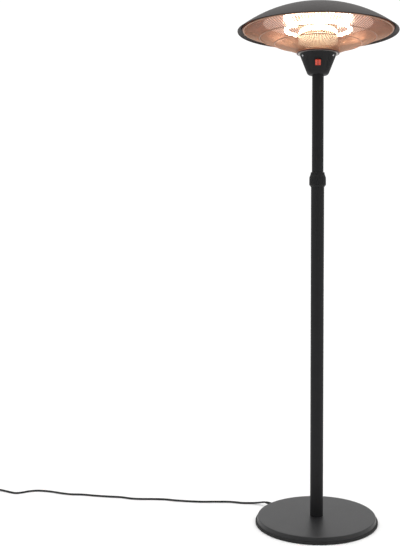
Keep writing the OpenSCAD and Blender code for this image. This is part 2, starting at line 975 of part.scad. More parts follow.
// Hook-and-loop strap round the hank, opposite the tail
module cord_tie() {
    t = 1;
    color("#333333")
        translate([coil_x, coil_y, 0])
            rotate([0, 0, 300])
                translate([coil_r, -6, 0])
                    difference() {
                        translate([-cord_r - t, 0, coil_low - t])
                            cube([cord_d + 2 * t, 12, coil_high - coil_low + 2 * t]);
                        translate([-cord_r, -1, coil_low])
                            cube([cord_d, 14, coil_high - coil_low]);
                    }
}

// Moulded two-pin mains plug lying on its side, its cord sleeve towards the hank
module plug_body() {
    color("#1a1a1a")
        translate([plug_x, plug_y, plug_axis_z])
            rotate([90, 0, 0]) {
                cylinder(r1 = cord_r + 0.8, r2 = 7, h = 22, $fn = 32);
                translate([0, 0, 21.5])
                    cylinder(r1 = 8, r2 = plug_r, h = 12);
                translate([0, 0, 33.5])
                    cylinder(r = plug_r, h = 22);
            }
}

module plug_pins() {
    color("silver")
        for (side = [-1, 1])
            translate([plug_x + side * pin_gap / 2, plug_y - 55.5, plug_axis_z])
                rotate([90, 0, 0])
                    cylinder(r = pin_r, h = 19, $fn = 24);
}

base_cover();
base_edge_ring();
base_weight();
base_plate();
pole_socket();
base_bolts();
lower_tube();
socket_screws();
clamp_bush();
cord_gland();
cord_lead();
cord_coil();
cord_tail();
cord_tie();
plug_body();
plug_pins();
inner_lead_lower();
clamp_collar();
clamp_sleeve();
upper_tube();
guide_bush();
tube_adapter();
housing();
housing_trim();
housing_screws();
flange_plate();
column_shell();
column_neck();
centre_rod();
rod_nuts();
rod_spacers();
heat_shield();
reflector();
shade();
shade_brackets();
top_cap();
lamp_tube();
lamp_filament();
lamp_end_caps();
lamp_clips();
lamp_leads();
guard_wires();
guard_outer_ring();
guard_upper_hoop();
guard_lower_hoop();
guard_inner_ring();
guard_hooks();
switch_frame();
terminal_block();
inner_lead_upper();
rocker_left();
rocker_right();
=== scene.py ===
"""Free-standing electric patio heater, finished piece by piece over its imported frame."""
import json
import math

import bmesh
import bpy
from mathutils import Matrix, Vector


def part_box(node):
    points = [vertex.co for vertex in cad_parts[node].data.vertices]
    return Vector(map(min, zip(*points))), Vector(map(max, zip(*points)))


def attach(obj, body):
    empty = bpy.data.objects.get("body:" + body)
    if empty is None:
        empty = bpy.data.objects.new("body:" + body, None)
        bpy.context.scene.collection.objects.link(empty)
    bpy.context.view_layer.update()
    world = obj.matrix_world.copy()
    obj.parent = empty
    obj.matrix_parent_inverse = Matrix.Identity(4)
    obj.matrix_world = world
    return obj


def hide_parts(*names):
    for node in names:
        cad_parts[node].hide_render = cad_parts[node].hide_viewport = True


bl_info = {
    "name": "Patio Heater",
    "version": (1, 0, 0),
    "blender": (4, 5, 0),
    "location": "View3D > Sidebar > Heater",
    "description": "Builds the finished pieces of a free-standing electric patio heater",
    "category": "Object",
}

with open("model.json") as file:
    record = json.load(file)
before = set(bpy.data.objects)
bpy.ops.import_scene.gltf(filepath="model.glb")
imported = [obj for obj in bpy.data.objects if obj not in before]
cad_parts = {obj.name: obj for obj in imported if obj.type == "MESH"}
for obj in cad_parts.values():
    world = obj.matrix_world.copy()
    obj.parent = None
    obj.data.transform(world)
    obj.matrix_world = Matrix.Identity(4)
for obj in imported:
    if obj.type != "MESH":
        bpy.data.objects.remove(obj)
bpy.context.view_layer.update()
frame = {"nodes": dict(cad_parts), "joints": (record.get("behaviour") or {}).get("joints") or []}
# Pieces are shaped in millimetres; Blender, the camera, the lights and the frame use metres
MM = 0.001
POLE = (0.0, 0.0, 0.0)
# The reflector's flat middle: its radius, and its height over the reflector's rim
FLAT_RADIUS = 200
FLAT_RISE = 24


# ---- sizes read from the frame ---------------------------------------------------------------

def low(node):
    """Height of a node's lowest point."""
    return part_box(node)[0].z / MM


def high(node):
    """Height of a node's highest point."""
    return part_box(node)[1].z / MM


def reach(node):
    """Outer radius of a node that is centred on the pole."""
    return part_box(node)[1].x / MM


def hoop_of(node):
    """Centre radius, centre height and wire radius of a round hoop."""
    wire = (high(node) - low(node)) / 2
    return reach(node) - wire, (high(node) + low(node)) / 2, wire


# ---- colour and shader helpers ---------------------------------------------------------------

def linear(code):
    """Linear colour from an sRGB hex code."""
    channels = [int(code[i:i + 2], 16) / 255 for i in (1, 3, 5)]
    return [c / 12.92 if c <= 0.04045 else ((c + 0.055) / 1.055) ** 2.4 for c in channels]


def tone(colour, factor):
    """The colour made lighter or darker by a factor, with alpha."""
    return [min(1.0, c * factor) for c in colour[:3]] + [1.0]


def feed(tree, node, links):
    """Links patterns to a node's inputs."""
    for socket, source in links.items():
        tree.links.new(source, node.inputs[socket])


def add_node(tree, kind, settings=None, links=None):
    """Adds one shader node, sets its attributes and sockets, and links its inputs."""
    made = tree.nodes.new(kind)
    for key, value in (settings or {}).items():
        if isinstance(key, int) or key in made.inputs:
            made.inputs[key].default_value = value
        else:
            setattr(made, key, value)
    feed(tree, made, links or {})
    return made


def new_finish(numbers):
    """An empty material with its Principled shader, whose even numbers are set on its sockets."""
    finish = bpy.data.materials.new("finish")
    finish.use_nodes = True
    tree = finish.node_tree
    tree.nodes.clear()
    shader = add_node(tree, "ShaderNodeBsdfPrincipled", numbers)
    add_node(tree, "ShaderNodeOutputMaterial", {}, {"Surface": shader.outputs["BSDF"]})
    return finish, tree, shader


def object_place(tree):
    """Object coordinates, which are metres in the heater's own frame."""
    return add_node(tree, "ShaderNodeTexCoord").outputs["Object"]


def speckle(tree, place, size, detail=2.0):
    """Noise whose grains are about that size across."""
    return add_node(
        tree, "ShaderNodeTexNoise",
        {"Scale": 1 / (size * MM), "Detail": detail, "Roughness": 0.55}, {"Vector": place},
    ).outputs["Fac"]


def blended(tree, factor, colour, contrast):
    """The colour, running darker and lighter by the contrast as the factor rises."""
    ramp = add_node(tree, "ShaderNodeValToRGB", {}, {"Fac": factor})
    first, last = ramp.color_ramp.elements
    first.position, first.color = 0.3, tone(colour, 1 - contrast)
    last.position, last.color = 0.7, tone(colour, 1 + contrast)
    return ramp.outputs["Color"]


def spread(tree, factor, lowest, highest):
    """Number that runs from lowest to highest as the factor goes from 0 to 1."""
    return add_node(
        tree, "ShaderNodeMapRange", {"To Min": lowest, "To Max": highest}, {"Value": factor}
    ).outputs["Result"]


def bumped(tree, shader, height, depth):
    """Gives a shader the relief of a height pattern of that depth."""
    bump = add_node(tree, "ShaderNodeBump", {"Distance": depth * MM}, {"Height": height})
    feed(tree, shader, {"Normal": bump.outputs["Normal"]})


def grained_finish(colour, contrast, grain, relief, roughness, numbers):
    """Common form of a finish: fine grain in relief, cloudy colour and uneven gloss.

    The grain is drawn a few times as coarse as the real one, which is too fine to show.
    """
    finish, tree, shader = new_finish(numbers)
    place = object_place(tree)
    grains = speckle(tree, place, grain, 3.0)
    clouds = speckle(tree, place, 45)
    mixed = add_node(
        tree, "ShaderNodeMix", {"Factor": 0.45}, {2: grains, 3: clouds}
    ).outputs[0]
    feed(tree, shader, {
        "Base Color": blended(tree, mixed, colour, contrast),
        "Roughness": spread(tree, grains, roughness * 0.8, roughness * 1.2),
    })
    bumped(tree, shader, grains, relief)
    return finish


# ---- finishes --------------------------------------------------------------------------------

def powder_coat():
    """Textured polyester powder coat, baked: fine grit that breaks every highlight softly."""
    return grained_finish(
        colours().base_paint, contrast=0.32, grain=2.2, relief=0.1, roughness=0.4,
        numbers={"IOR": 1.5, "Specular IOR Level": 0.45},
    )


def tube_coat():
    """Satin polyester powder coat on drawn steel tube: a long soft highlight down the pole."""
    return grained_finish(
        colours().pole_paint, contrast=0.12, grain=1.6, relief=0.03, roughness=0.45,
        numbers={"IOR": 1.45, "Specular IOR Level": 0.12},
    )


def baked_enamel():
    """Heat-proof enamel, sprayed and baked on spun steel: warm dark satin with a faint haze."""
    return grained_finish(
        colours().shade_paint, contrast=0.14, grain=1.8, relief=0.04, roughness=0.46,
        numbers={"IOR": 1.5, "Specular IOR Level": 0.12},
    )


def moulded_nylon():
    """Black glass-filled nylon from a spark-eroded mould: dull, with an even leathery grain."""
    return grained_finish(
        colours().plastic, contrast=0.14, grain=1.0, relief=0.04, roughness=0.5,
        numbers={"IOR": 1.5, "Specular IOR Level": 0.14},
    )


def natural_nylon():
    """Natural nylon, injection moulded: milky white with a soft sheen."""
    return grained_finish(
        linear("#dedbd0"), contrast=0.05, grain=1.5, relief=0.01, roughness=0.45,
        numbers={"IOR": 1.53},
    )


def moulded_rubber():
    """Black EPDM rubber, compression moulded: matt, with faint dusty clouds."""
    return grained_finish(
        colours().rubber, contrast=0.3, grain=0.8, relief=0.03, roughness=0.75,
        numbers={"IOR": 1.52},
    )


def rubber_sheath():
    """Extruded rubber cord sheath: matt black, drawn out smooth."""
    return grained_finish(
        colours().rubber, contrast=0.25, grain=1.2, relief=0.02, roughness=0.6,
        numbers={"IOR": 1.52},
    )


def cast_iron():
    """Grey iron from a sand mould, dipped in black paint: coarse and uneven."""
    return grained_finish(
        linear("#38383a"), contrast=0.3, grain=3.0, relief=0.3, roughness=0.7,
        numbers={"IOR": 1.5},
    )


def steatite():
    """Steatite ceramic, pressed, fired and glazed: cream and glossy."""
    return grained_finish(
        linear("#e2dac8"), contrast=0.06, grain=2.5, relief=0.01, roughness=0.24,
        numbers={"IOR": 1.55},
    )


def glass_sleeve():
    """Braided glass-fibre sleeve: off-white, with the braid as fine relief."""
    return grained_finish(
        linear("#dcdad0"), contrast=0.12, grain=0.9, relief=0.1, roughness=0.7,
        numbers={"IOR": 1.5},
    )


def zinc_plate():
    """Zinc plated steel, bright passivated: cool silver, faintly clouded."""
    return grained_finish(
        linear("#c2c4c8"), contrast=0.08, grain=1.0, relief=0.006, roughness=0.3,
        numbers={"Metallic": 1.0},
    )


def rolled_steel():
    """Bright stainless strip, rolled: a clean silver line."""
    return grained_finish(
        linear("#a09b97"), contrast=0.06, grain=0.8, relief=0.004, roughness=0.36,
        numbers={"Metallic": 1.0},
    )


def nickel_brass():
    """Brass pins, turned and nickel plated: warm silver."""
    return grained_finish(
        linear("#cbc4b0"), contrast=0.08, grain=0.7, relief=0.004, roughness=0.25,
        numbers={"Metallic": 1.0},
    )


def mill_aluminium():
    """Rolled aluminium sheet as it leaves the mill: pale, with blurred reflections."""
    return grained_finish(
        linear("#dcdddf"), contrast=0.05, grain=0.8, relief=0.005, roughness=0.28,
        numbers={"Metallic": 1.0},
    )


def lacquered_wire():
    """Steel wire under baked copper lacquer: warm metallic flake, darker where it pools."""
    return grained_finish(
        colours().copper, contrast=0.1, grain=1.5, relief=0.01, roughness=0.46,
        numbers={"Metallic": 0.75},
    )


def lacquered_plate():
    """Steel plate under dark copper lacquer: a red-brown edge under the column."""
    return grained_finish(
        linear("#4a2016"), contrast=0.15, grain=1.5, relief=0.01, roughness=0.45,
        numbers={"Metallic": 0.4},
    )


def polished_column():
    """Gold anodised aluminium, polished: carries the guard's wires as curved reflections."""
    return grained_finish(
        colours().column, contrast=0.03, grain=1.2, relief=0.002, roughness=0.3,
        numbers={"Metallic": 0.45, "Coat Weight": 0.6, "Coat Roughness": 0.05},
    )


def polished_neck():
    """Gold anodised aluminium, buffed brighter: mirrors the lamp as a band behind the wires."""
    return grained_finish(
        colours().column, contrast=0.03, grain=1.2, relief=0.002, roughness=0.16,
        numbers={"Metallic": 1.0},
    )


def spun_reflector():
    """Copper anodised aluminium, spun on a lathe: its rings draw the light out in a fan.

    The rings are drawn coarser than the lathe's own, which are too fine to show. The flat middle is
    painted paler as a painted reflection of the lamp, and the flank darker as painted shade.
    """
    finish, tree, shader = new_finish({"Metallic": 1.0})
    place = object_place(tree)
    split = add_node(tree, "ShaderNodeSeparateXYZ", {}, {"Vector": place})
    flat = add_node(
        tree, "ShaderNodeCombineXYZ", {}, {"X": split.outputs["X"], "Y": split.outputs["Y"]}
    )
    radius = add_node(
        tree, "ShaderNodeVectorMath", {"operation": "LENGTH"}, {0: flat.outputs["Vector"]}
    ).outputs["Value"]
    ring_step = 2.5
    turns = add_node(
        tree, "ShaderNodeMath", {"operation": "MULTIPLY", 1: 2 * math.pi / (ring_step * MM)},
        {0: radius},
    ).outputs[0]
    rings = add_node(tree, "ShaderNodeMath", {"operation": "SINE"}, {0: turns}).outputs[0]
    clouds = speckle(tree, place, 80)
    # 0 on the flat middle and 1 on the flank: where the painted reflection of the lamp gives way to
    #                                          painted shade
    outward = add_node(
        tree, "ShaderNodeMapRange",
        {"From Min": (FLAT_RADIUS - 1) * MM, "From Max": (FLAT_RADIUS + 3) * MM},
        {"Value": radius},
    ).outputs["Result"]
    # The copper's own tone with painted light: paler on the flat middle as the lamp's painted
    # reflection, darker on the flank as painted shade
    anodised = add_node(
        tree, "ShaderNodeMix", {"data_type": "RGBA"}, {
            0: outward,
            6: blended(tree, clouds, colours().reflector, 0.04),
            7: blended(tree, clouds, colours().shaded_flank, 0.08),
        }
    ).outputs[2]
    feed(tree, shader, {"Base Color": anodised, "Roughness": spread(tree, clouds, 0.3, 0.36)})
    bumped(tree, shader, rings, 0.006)
    return finish


def lit_quartz():
    """Quartz tube flooded with light by its filament: white hot, a little golden in places."""
    finish, tree, shader = new_finish(
        {"Roughness": 0.2, "IOR": 1.46, "Emission Strength": sizes().lamp_strength}
    )
    clouds = speckle(tree, object_place(tree), 14)
    glow = blended(tree, clouds, colours().lamp, 0.06)
    feed(tree, shader, {"Base Color": glow, "Emission Color": glow})
    return finish


def hot_filament():
    """Carbon filament at full heat, mottled where its coils touch."""
    finish, tree, shader = new_finish(
        {"Roughness": 0.8, "Emission Strength": sizes().lamp_strength}
    )
    clouds = speckle(tree, object_place(tree), 4)
    feed(tree, shader, {"Emission Color": blended(tree, clouds, linear("#ffc078"), 0.2)})
    return finish


def lit_polycarbonate():
    """Red polycarbonate, moulded glossy and lit from behind by its neon."""
    finish, tree, shader = new_finish(
        {"IOR": 1.58, "Coat Weight": 0.12, "Coat Roughness": 0.1, "Emission Strength": 0.18}
    )
    clouds = speckle(tree, object_place(tree), 6)
    glow = blended(tree, clouds, colours().rocker, 0.12)
    feed(tree, shader, {
        "Base Color": glow, "Emission Color": glow, "Roughness": spread(tree, clouds, 0.22, 0.34),
    })
    return finish


def woven_strap():
    """Woven nylon hook-and-loop strap: fuzzy, with ribs about two millimetres apart."""
    finish, tree, shader = new_finish({"IOR": 1.53, "Roughness": 0.85, "Sheen Weight": 0.4})
    # A wave texture repeats about 3.2 times in each unit of its scale
    ribs = add_node(
        tree, "ShaderNodeTexWave",
        {"Scale": 1 / (6 * MM), "Distortion": 0.6, "bands_direction": "Z"},
        {"Vector": object_place(tree)},
    ).outputs["Fac"]
    feed(tree, shader, {"Base Color": blended(tree, ribs, linear("#222222"), 0.4)})
    bumped(tree, shader, ribs, 0.15)
    return finish


def studio_floor():
    """Matt white studio floor with the faintest unevenness."""
    finish, tree, shader = new_finish({"Roughness": 0.9})
    clouds = speckle(tree, object_place(tree), 1500)
    feed(tree, shader, {"Base Color": blended(tree, clouds, colours().floor, 0.01)})
    return finish


FINISHES = {
    maker.__name__: maker
    for maker in (
        powder_coat, tube_coat, baked_enamel, moulded_nylon, natural_nylon, moulded_rubber,
        rubber_sheath, cast_iron, steatite, glass_sleeve, zinc_plate, rolled_steel, nickel_brass,
        mill_aluminium, lacquered_wire, lacquered_plate, polished_column, polished_neck,
        spun_reflector, lit_quartz, hot_filament, lit_polycarbonate, woven_strap, studio_floor,
    )
}


def finish_named(name):
    """The material of that name, made the first time it is asked for."""
    if name not in bpy.data.materials:
        FINISHES[name]().name = name
    return bpy.data.materials[name]


# ---- modelling helpers -----------------------------------------------------------------------

def deselect():
    """Leaves nothing selected and Blender in object mode."""
    if bpy.context.object and bpy.context.object.mode != "OBJECT":
        bpy.ops.object.mode_set(mode="OBJECT")
    bpy.ops.object.select_all(action="DESELECT")


def only(piece):
    """Selects one piece alone and makes it active."""
    deselect()
    piece.select_set(True)
    bpy.context.view_layer.objects.active = piece


def edit(piece):
    """Enters a piece's edit mode with all of it selected."""
    only(piece)
    bpy.ops.object.mode_set(mode="EDIT")
    bpy.ops.mesh.select_all(action="SELECT")


def pick(test):
    """Selects, in edit mode, the points whose place in millimetres passes the test."""
    bpy.ops.mesh.select_mode(type="VERT")
    bpy.ops.mesh.select_all(action="DESELECT")
    mesh = bpy.context.edit_object.data
    form = bmesh.from_edit_mesh(mesh)
    for point in form.verts:
        point.select_set(test(point.co / MM))
    form.select_flush(True)
    bmesh.update_edit_mesh(mesh)


def merge_doubles():
    """Merges the points that lie on each other, in edit mode, and leaves all selected."""
    bpy.ops.mesh.select_all(action="SELECT")
    bpy.ops.mesh.remove_doubles(threshold=0.001 * MM)


def close_mesh():
    """Merges doubles, turns every face outward and goes back to object mode."""
    merge_doubles()
    bpy.ops.mesh.normals_make_consistent(inside=False)
    bpy.ops.object.mode_set(mode="OBJECT")


def draw_in(test, share):
    """Draws the points that pass the test in towards the pole by a share of their radius."""
    pick(test)
    bpy.ops.transform.resize(value=(1 - share, 1 - share, 1), center_override=POLE)


def metres(point):
    """A point given in millimetres, in metres."""
    return Vector([c * MM for c in point])


def moved(x, y, z):
    """Matrix that shifts by that many millimetres."""
    return Matrix.Translation(metres((x, y, z)))


def swung(degrees, axis="Z"):
    """Matrix that turns about an axis through the origin."""
    return Matrix.Rotation(math.radians(degrees), 4, axis)


def settle():
    """Leaves the selected piece's place, turn and scale in its mesh."""
    bpy.ops.object.transform_apply(location=True, rotation=True, scale=True)


def drawn(points):
    """A line of edges through the points, begun as a primitive shrunk to its first point."""
    deselect()
    places = [metres(point) for point in points]
    bpy.ops.mesh.primitive_plane_add(size=MM, location=places[0])
    piece = bpy.context.active_object
    settle()
    edit(piece)
    bpy.ops.mesh.merge(type="CENTER")
    for here, there in zip(places, places[1:]):
        bpy.ops.mesh.extrude_region_move(TRANSFORM_OT_translate={"value": there - here})
    merge_doubles()
    return piece


def turned(outline, steps=128, sweep=360.0, start=0.0):
    """Lathe work: the outline of (radius, height) drawn, then spun round the upright axis."""
    piece = drawn([(radius, 0, height) for radius, height in outline])
    bpy.ops.mesh.spin(steps=steps, angle=math.radians(sweep), center=POLE, axis=(0, 0, 1))
    if sweep < 360:
        merge_doubles()
        bpy.ops.mesh.fill_holes(sides=0)
    close_mesh()
    if start:
        put(piece, swung(start))
    return piece


def closed(outline):
    """The outline with its first point repeated at the end."""
    return list(outline) + [outline[0]]


def arc(centre, radius, first, last, count=8):
    """Points of an arc in the (radius, height) plane, its angles in degrees from level."""
    angles = [math.radians(first + (last - first) * i / count) for i in range(count + 1)]
    return [
        (centre[0] + radius * math.cos(a), centre[1] + radius * math.sin(a)) for a in angles
    ]


def prism(outline, width):
    """A bar of that width along X with the (Y, Z) outline as its section."""
    piece = drawn([(-width / 2, y, z) for y, z in closed(outline)])
    bpy.ops.mesh.edge_face_add()
    bpy.ops.mesh.extrude_region_move(TRANSFORM_OT_translate={"value": (width * MM, 0, 0)})
    close_mesh()
    return piece


def block(low_corner, high_corner):
    """A cube stretched between two corners."""
    deselect()
    start, end = metres(low_corner), metres(high_corner)
    bpy.ops.mesh.primitive_cube_add(size=1, location=(start + end) / 2)
    piece = bpy.context.active_object
    piece.scale = end - start
    settle()
    return piece


def rod(start, end, radius, sides=16):
    """A straight round rod from one point to another."""
    deselect()
    line = metres(end) - metres(start)
    bpy.ops.mesh.primitive_cylinder_add(
        vertices=sides, radius=radius * MM, depth=line.length,
        location=(metres(start) + metres(end)) / 2,
        rotation=line.to_track_quat("Z", "Y").to_euler(),
    )
    settle()
    return bpy.context.active_object


def put(piece, matrix):
    """Moves a piece by the matrix and leaves the move in its mesh."""
    only(piece)
    piece.matrix_world = matrix @ piece.matrix_world
    settle()
    return piece


def copied(piece, matrix):
    """A copy of a piece with a mesh of its own, moved by the matrix."""
    only(piece)
    bpy.ops.object.duplicate(linked=False)
    return put(bpy.context.active_object, matrix)


def round_pole(piece, count):
    """Repeats all of a piece's mesh evenly round the pole."""
    edit(piece)
    sweep = 2 * math.pi * (count - 1) / count
    bpy.ops.mesh.spin(steps=count - 1, angle=sweep, center=POLE, axis=(0, 0, 1), dupli=True)
    bpy.ops.object.mode_set(mode="OBJECT")
    return piece


def joined(pieces):
    """All the pieces joined into the first one."""
    deselect()
    for piece in pieces:
        piece.select_set(True)
    bpy.context.view_layer.objects.active = pieces[0]
    bpy.ops.object.join()
    return pieces[0]


def repeated(piece, matrices):
    """Copies of a piece, one for each matrix, joined into one in place of the first."""
    copies = [copied(piece, matrix) for matrix in matrices]
    bpy.data.objects.remove(piece)
    return joined(copies)


def modified(piece, kind, settings):
    """Adds one modifier with its settings and applies it."""
    only(piece)
    modifier = piece.modifiers.new(kind.title(), kind)
    for key, value in settings.items():
        setattr(modifier, key, value)
    bpy.ops.object.modifier_apply(modifier=modifier.name)
    return piece


def softened(piece, width, segments=2):
    """Rounds a piece's sharp edges."""
    return modified(
        piece, "BEVEL",
        {"width": width * MM, "segments": segments, "limit_method": "ANGLE",
         "angle_limit": math.radians(32)},
    )


def cut(piece, other, operation="DIFFERENCE"):
    """Takes the other shape out of a piece, or adds it in a union, and deletes the other."""
    modified(piece, "BOOLEAN", {"operation": operation, "object": other, "solver": "EXACT"})
    bpy.data.objects.remove(other)
    return piece


def fused(piece, other):
    """Adds the other shape to a piece as one solid."""
    return cut(piece, other, "UNION")


def finished(piece, name, body, nodes, finish, smooth=38.0):
    """Names a piece, shades it, gives it its finish and ties it to the frame."""
    only(piece)
    piece.name = name
    piece.data.name = name
    if piece.type == "MESH":
        bpy.ops.object.shade_smooth_by_angle(angle=math.radians(smooth))
    piece.data.materials.clear()
    piece.data.materials.append(finish_named(finish))
    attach(piece, body)
    if nodes:
        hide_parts(*nodes)
    deselect()
    return piece


def refinish(finish, *nodes):
    """Gives CAD nodes that keep their own shape a finish."""
    for name in nodes:
        node = frame["nodes"][name]
        node.data.materials.clear()
        node.data.materials.append(finish_named(finish))


# ---- sizes and colours that a user would change ----------------------------------------------

def paint(name, code, description):
    """A colour property whose default is an sRGB hex code."""
    return bpy.props.FloatVectorProperty(
        name=name, description=description, default=linear(code), subtype="COLOR", min=0, max=1,
    )


class HeaterSizes(bpy.types.PropertyGroup):
    """Sizes of the finished pieces that the frame doesn't settle."""

    edge_round: bpy.props.FloatProperty(
        name="Edge round", description="Radius on the edges of moulded and pressed pieces",
        default=0.5 * MM, min=0.1 * MM, max=2 * MM, unit="LENGTH",
    )
    guard_wires: bpy.props.IntProperty(
        name="Guard wires", description="Number of radial wires in the guard",
        default=144, min=60, max=180,
    )
    collar_flutes: bpy.props.IntProperty(
        name="Collar flutes", description="Number of grip flutes round the twist collar",
        default=18, min=6, max=30,
    )
    flute_depth: bpy.props.FloatProperty(
        name="Flute depth", description="Depth of a flute at its middle",
        default=0.9 * MM, min=0.2 * MM, max=2 * MM, unit="LENGTH",
    )
    rib_step: bpy.props.IntProperty(
        name="Housing rib step", description="Degrees between the grooves down the housing",
        default=8, min=4, max=20,
    )
    groove_depth: bpy.props.FloatProperty(
        name="Housing groove depth", description="Depth of a groove as a share of its radius",
        default=0.024, min=0.005, max=0.04, subtype="FACTOR",
    )
    lamp_strength: bpy.props.FloatProperty(
        name="Lamp strength", description="Brightness of the lit lamp",
        default=24.0, min=0.0, max=200.0,
    )
    cord_length: bpy.props.FloatProperty(
        name="Cord length", description="Length of the mains cord from its gland to its plug",
        default=1.84, min=1.75, max=1.95, unit="LENGTH",
    )


class HeaterColours(bpy.types.PropertyGroup):
    """Colours of the main finishes."""

    base_paint: paint("Base paint", "#212122", "Powder coat on the base")
    pole_paint: paint("Pole paint", "#262627", "Powder coat on the two tubes")
    shade_paint: paint("Shade enamel", "#261f1c", "Enamel on the domed shade")
    plastic: paint("Black plastic", "#222223", "Moulded housing, collar and switch frame")
    rubber: paint("Rubber", "#0f0f0f", "Edge ring, cord, gland and plug")
    copper: paint("Guard copper", "#ad8872", "Lacquer on the guard's wires")
    # The reflector's two colours are one copper painted lit and shaded: the middle paler with a
    # painted reflection of the lamp, the flank darker with painted shade
    reflector: paint("Reflector", "#efcbbb", "Anodised copper tone of the reflector")
    shaded_flank: paint("Reflector flank", "#96583f", "Deeper copper of the reflector's sloping flank")
    column: paint("Column", "#f7ebd2", "Anodised gold tone of the centre column")
    lamp: paint("Lamp light", "#fff0de", "Colour of the lamp's light")
    rocker: paint("Rocker", "#bf371c", "Lit red of the switch's rockers")
    floor: paint("Floor", "#f6f6f6", "Studio floor")


def sizes():
    """The sizes in use."""
    return bpy.context.scene.heater_sizes


def colours():
    """The colours in use."""
    return bpy.context.scene.heater_colours


# ---- camera and cord -------------------------------------------------------------------------

CORD_RADIUS = 3.75
LEAD_ROUTE = [
    (-202, 158, 16), (-212, 165, 14), (-225, 172, 10), (-240, 178, 6.5), (-257, 181, 4.6),
    (-277, 181, 4.1), (-300, 181, 4.1), (-325, 187, 4.1), (-357, 192, 4.1), (-405, 190, 4.1),
    (-465, 186, 4.1), (-520, 189, 4.1), (-574, 196, 4.1), (-613, 205, 4.1), (-663, 207, 4.1),
    (-713, 205, 4.1), (-757, 208, 4.1), (-803, 222, 4.1), (-856, 227, 4.1), (-911, 234, 4.1),
    (-971, 245, 4.1), (-1020, 246, 4.1), (-1066, 258, 4.1), (-1105, 272, 4.1),
    (-1144, 282, 4.1), (-1178, 283, 4.1), (-1208, 273, 4.1), (-1233, 255, 4.1),
    (-1258, 248, 4.1), (-1288, 261, 4.1), (-1316, 275, 4.1), (-1345, 287, 4.5),
    (-1375, 292, 5), (-1402, 292.5, 5),
]
TAIL_ROUTE = [(-1448, 236, 21.8), (-1449, 220, 20.6), (-1450, 204, 19.4), (-1450, 190, 18.8)]
COIL_CENTRE = (-1410, 255)
COIL_RADIUS = 37.5
COIL_TURNS = 2.25
COIL_LOW = 5.0
COIL_TOP = 22.0
TURN_POINTS = 24


def coil_route():
    """Points of the wound spare cord, climbing from the lead's end to the tail's start."""
    count = int(COIL_TURNS * TURN_POINTS)
    points = []
    for i in range(1, count + 1):
        turn = math.radians(90 + 360 * COIL_TURNS * i / count)
        points.append((
            COIL_CENTRE[0] + COIL_RADIUS * math.cos(turn),
            COIL_CENTRE[1] + COIL_RADIUS * math.sin(turn),
            COIL_LOW + (COIL_TOP - COIL_LOW) * i / count,
        ))
    return points


def smoothed(points, steps=4):
    """Points of a smooth curve that passes through every given point."""
    ends = [points[0]] + list(points) + [points[-1]]
    route = []
    for before, here, there, after in zip(ends, ends[1:], ends[2:], ends[3:]):
        a, b, c, d = (Vector(p) for p in (before, here, there, after))
        for i in range(steps):
            t = i / steps
            route.append(0.5 * (
                2 * b + (c - a) * t + (2 * a - 5 * b + 4 * c - d) * t ** 2
                + (3 * b - a - 3 * c + d) * t ** 3
            ))
    return route + [Vector(points[-1])]


class HEATER_OT_camera(bpy.types.Operator):
    """Stands the camera in front of the heater, a little above its middle"""

    bl_idname = "heater.camera"
    bl_label = "Camera"

    def execute(self, context):
        eye = Vector((0.0, -3.0471, 1.1220))
        # Radians that the view turns to the right and tips down
        turn, tip = -0.0578, 0.0586
        look = Vector((
            math.sin(turn) * math.cos(tip), math.cos(turn) * math.cos(tip), -math.sin(tip),
        ))
        deselect()
        bpy.ops.object.camera_add(location=eye, rotation=look.to_track_quat("-Z", "Y").to_euler())
        camera = bpy.context.active_object
        camera.data.sensor_width = 36.0
        camera.data.lens = 53.98
        camera.data.shift_x = -0.1282
        context.scene.camera = camera
        return {"FINISHED"}


def gland_frame():
    """Frame at the base's middle, its Z along the gland, at the height of the gland."""
    tip = LEAD_ROUTE[0]
    return moved(0, 0, tip[2]) @ swung(math.degrees(math.atan2(tip[1], tip[0]))) @ swung(90, "Y")


class HEATER_OT_gland(bpy.types.Operator):
    """Rubber cord gland: a stem, a collar and a tapered boot ringed with grooves"""

    bl_idname = "heater.gland"
    bl_label = "Cord gland"

    def execute(self, context):
        # Where the base's wall stands at the height of the gland
        wall = 224.2
        tip = math.hypot(LEAD_ROUTE[0][0], LEAD_ROUTE[0][1])
        neck = wall + 3
        rings = 5
        step = (tip - neck) / (rings + 0.6)
        outline = [
            (0, wall - 10), (5.1, wall - 10), (5.1, wall + 0.2), (6.2, wall + 0.2),
            (6.5, wall + 0.6), (6.5, neck - 0.9), (6.1, neck - 0.4),
        ]
        for i in range(rings):
            width = 5.9 - 1.2 * i / rings
            start = neck + i * step
            outline += [
                (width, start), (width - 0.05, start + 0.62 * step),
                (width - 0.75, start + 0.7 * step), (width - 0.8, start + 0.92 * step),
            ]
        outline += [(4.6, tip - 0.5 * step), (4.45, tip - 0.3), (4.1, tip), (0, tip)]
        gland = put(turned(outline, steps=40), gland_frame())
        finished(gland, "gland", "stand", ["cord_gland"], "moulded_rubber", 30)
        return {"FINISHED"}


